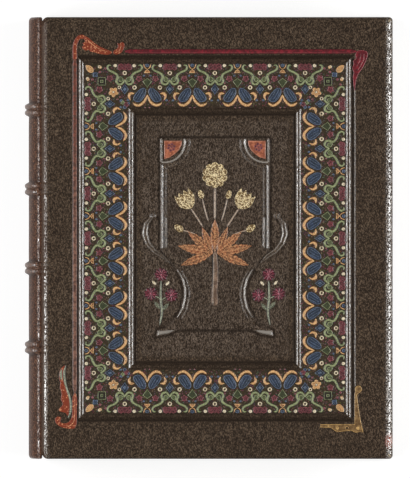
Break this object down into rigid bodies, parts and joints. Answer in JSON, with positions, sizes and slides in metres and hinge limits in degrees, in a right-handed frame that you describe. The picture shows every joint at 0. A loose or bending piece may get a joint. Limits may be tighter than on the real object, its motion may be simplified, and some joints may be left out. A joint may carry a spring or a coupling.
{
  "type": "antique leather book",
  "caption": "Closed leather-bound book lying flat, with raised double bands, a raised frame of coloured onlays and two covers that open.",
  "frame": {"origin": "centre of the book's footprint, at the outer face of the back cover, on which it lies", "axes": "+X from the back of the book to its fore-edge, +Y from tail to head, +Z from the back cover to the front cover"},
  "size_m": [0.25, 0.3, 0.0455],
  "materials": {
    "cover_leather": "grained, waxed, satin",
    "spine_leather": "grained, faded to red-brown, satin",
    "page_edges": "plain aged edges, matt",
    "endpaper": "plain laid paper, matt",
    "lining_paper": "matt",
    "pulp_board": "matt",
    "hemp_cord": "twisted cord, matt",
    "headband_silk": "worked silk, satin",
    "red_brown_onlay": "smooth, satin",
    "crimson_onlay": "smooth, satin",
    "vermilion_onlay": "smooth, satin",
    "ochre_onlay": "smooth, satin",
    "blue_onlay": "smooth, satin",
    "green_onlay": "smooth, satin",
    "maroon_onlay": "smooth, satin",
    "cream_onlay": "smooth, satin",
    "gold_onlay": "stippled and gilt, satin",
    "russet_onlay": "veined, satin",
    "stem_onlay": "ribbed, satin"
  },
  "bodies": {
    "block": {"text_block": "page_edges", "front_flyleaf": "endpaper", "back_flyleaf": "endpaper", "spine_linings": "lining_paper", "headband": "headband_silk", "tailband": "headband_silk", "sewing_cord_1": "hemp_cord", "sewing_cord_2": "hemp_cord", "sewing_cord_3": "hemp_cord", "sewing_cord_4": "hemp_cord", "spine_leather": "spine_leather"},
    "front_cover": {"front_board": "pulp_board", "front_slips": "hemp_cord", "front_leather": "cover_leather", "front_pastedown": "endpaper", "fillet_left": "red_brown_onlay", "fillet_top": "crimson_onlay", "scroll_top_left": "vermilion_onlay", "leaf_bottom_left": "vermilion_onlay", "drop_top_right": "crimson_onlay", "corner_bottom_right": "ochre_onlay", "corner_plate_left": "vermilion_onlay", "corner_plate_right": "vermilion_onlay", "border_ochre": "ochre_onlay", "border_blue": "blue_onlay", "border_green": "green_onlay", "border_maroon": "maroon_onlay", "border_cream": "cream_onlay", "spray_blooms": "gold_onlay", "spray_leaves": "russet_onlay", "spray_stems": "stem_onlay", "sprig_blossoms": "maroon_onlay", "sprig_buds": "cream_onlay", "sprig_stems": "green_onlay"},
    "back_cover": {"back_board": "pulp_board", "back_slips": "hemp_cord", "back_leather": "cover_leather", "back_pastedown": "endpaper"}
  },
  "joints": [
    {"name": "front_cover_hinge", "type": "hinge", "parent": "block", "child": "front_cover", "pos_m": [-0.1132, 0, 0.044], "axis": [0, -1, 0], "range_deg": [0, 180]},
    {"name": "back_cover_hinge", "type": "hinge", "parent": "block", "child": "back_cover", "pos_m": [-0.1132, 0, 0], "axis": [0, 1, 0], "range_deg": [0, 180]}
  ]
}
